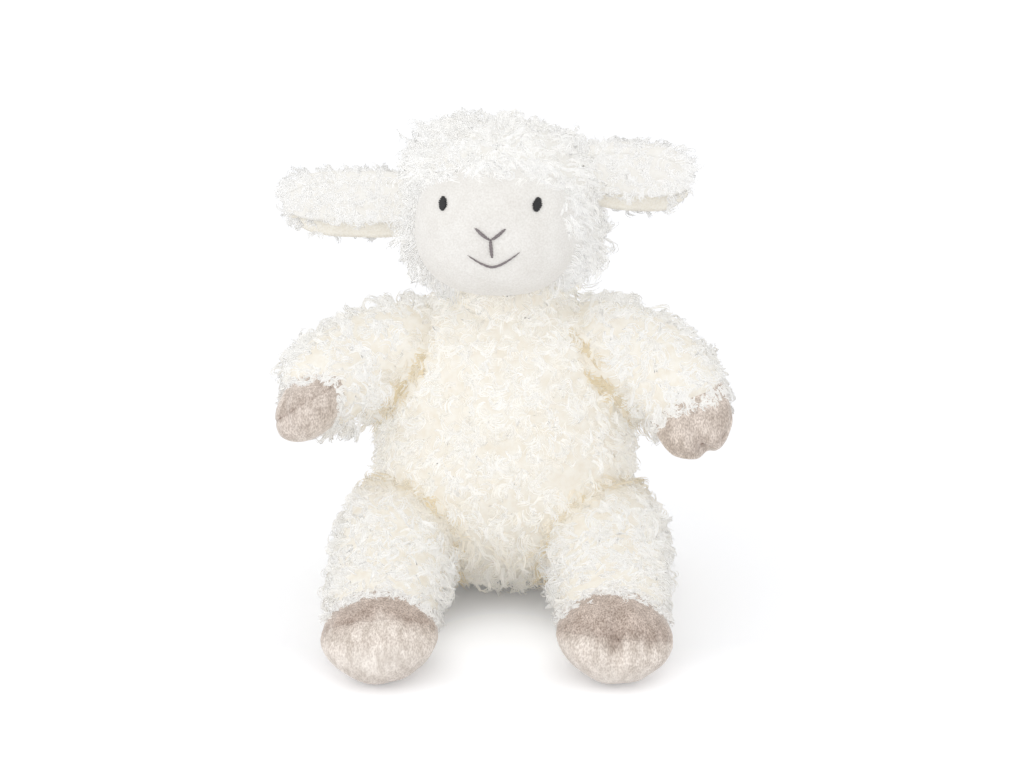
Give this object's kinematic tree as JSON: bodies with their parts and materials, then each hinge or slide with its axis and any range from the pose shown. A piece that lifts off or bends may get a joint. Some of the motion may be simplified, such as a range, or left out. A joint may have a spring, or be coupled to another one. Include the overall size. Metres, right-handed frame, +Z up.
{
  "type": "plush sheep",
  "caption": "Sitting plush lamb with curly fleece, velour face, folded floppy ears, outstretched arms, cloven hooves and a short tail.",
  "frame": {"origin": "the middle of the seat, on the plane that the lamb sits on", "axes": "+Z up, the lamb faces -Y, +X towards its own left hand"},
  "size_m": [0.2319, 0.2265, 0.2458],
  "materials": {
    "curly_fleece": "long curly ivory pile",
    "face_velour": "short cream velour pile",
    "ear_velour": "short warm cream velour pile",
    "hoof_velour": "short mauve-taupe velour pile",
    "black_thread": "satin-stitched thread",
    "grey_thread": "embroidery thread",
    "filling": "polyester fibre",
    "pellet_bag_cloth": "woven bag of pellets"
  },
  "bodies": {
    "torso": {"torso_fleece": "curly_fleece", "torso_filling": "filling", "pellet_bag": "pellet_bag_cloth"},
    "neck": {"neck_filling": "filling"},
    "head": {"head_fleece": "curly_fleece", "head_filling": "filling", "face_panel": "face_velour", "eye_left": "black_thread", "eye_right": "black_thread", "nose_stitch": "grey_thread", "mouth_stitch": "grey_thread"},
    "ear_left": {"ear_left_fleece": "curly_fleece", "ear_left_lining": "ear_velour"},
    "ear_right": {"ear_right_fleece": "curly_fleece", "ear_right_lining": "ear_velour"},
    "arm_left": {"arm_left_fleece": "curly_fleece", "arm_left_filling": "filling", "hand_left_upper": "hoof_velour", "hand_left_sole": "hoof_velour"},
    "leg_left": {"leg_left_fleece": "curly_fleece", "leg_left_filling": "filling", "foot_left_upper": "hoof_velour", "foot_left_sole": "hoof_velour"},
    "arm_right": {"arm_right_fleece": "curly_fleece", "arm_right_filling": "filling", "hand_right_upper": "hoof_velour", "hand_right_sole": "hoof_velour"},
    "leg_right": {"leg_right_fleece": "curly_fleece", "leg_right_filling": "filling", "foot_right_upper": "hoof_velour", "foot_right_sole": "hoof_velour"},
    "tail": {"tail": "curly_fleece"}
  },
  "joints": [
    {"name": "neck_turn", "type": "hinge", "parent": "torso", "child": "neck", "pos_m": [0, 0, 0.152], "axis": [0, 0, 1], "range_deg": [-25, 25], "stiffness_Nm_per_rad": 0.4},
    {"name": "head_nod", "type": "hinge", "parent": "neck", "child": "head", "pos_m": [0, 0, 0.152], "axis": [0.9925, -0.1219, 0], "range_deg": [-12, 12], "stiffness_Nm_per_rad": 0.6},
    {"name": "ear_left_flap", "type": "hinge", "parent": "head", "child": "ear_left", "pos_m": [0.04616, -0.0097, 0.221], "axis": [-0.1219, -0.9925, 0], "range_deg": [-20, 20], "stiffness_Nm_per_rad": 0.02},
    {"name": "ear_right_flap", "type": "hinge", "parent": "head", "child": "ear_right", "pos_m": [-0.04714, 0.00176, 0.2025], "axis": [0.1219, 0.9925, 0], "range_deg": [-20, 20], "stiffness_Nm_per_rad": 0.02},
    {"name": "arm_left_raise", "type": "hinge", "parent": "torso", "child": "arm_left", "pos_m": [0.04, -0.002, 0.128], "axis": [0, -1, 0], "range_deg": [-5, 35], "stiffness_Nm_per_rad": 0.15},
    {"name": "arm_right_raise", "type": "hinge", "parent": "torso", "child": "arm_right", "pos_m": [-0.04, -0.002, 0.128], "axis": [0, 1, 0], "range_deg": [-5, 35], "stiffness_Nm_per_rad": 0.15},
    {"name": "leg_left_raise", "type": "hinge", "parent": "torso", "child": "leg_left", "pos_m": [0.05, -0.026, 0.0345], "axis": [-1, 0, 0], "range_deg": [-15, 20], "stiffness_Nm_per_rad": 0.15},
    {"name": "leg_right_raise", "type": "hinge", "parent": "torso", "child": "leg_right", "pos_m": [-0.053, -0.026, 0.0345], "axis": [-1, 0, 0], "range_deg": [-15, 20], "stiffness_Nm_per_rad": 0.15},
    {"name": "tail_lift", "type": "hinge", "parent": "torso", "child": "tail", "pos_m": [0, 0.05824, 0.048], "axis": [1, 0, 0], "range_deg": [0, 40], "stiffness_Nm_per_rad": 0.02}
  ]
}
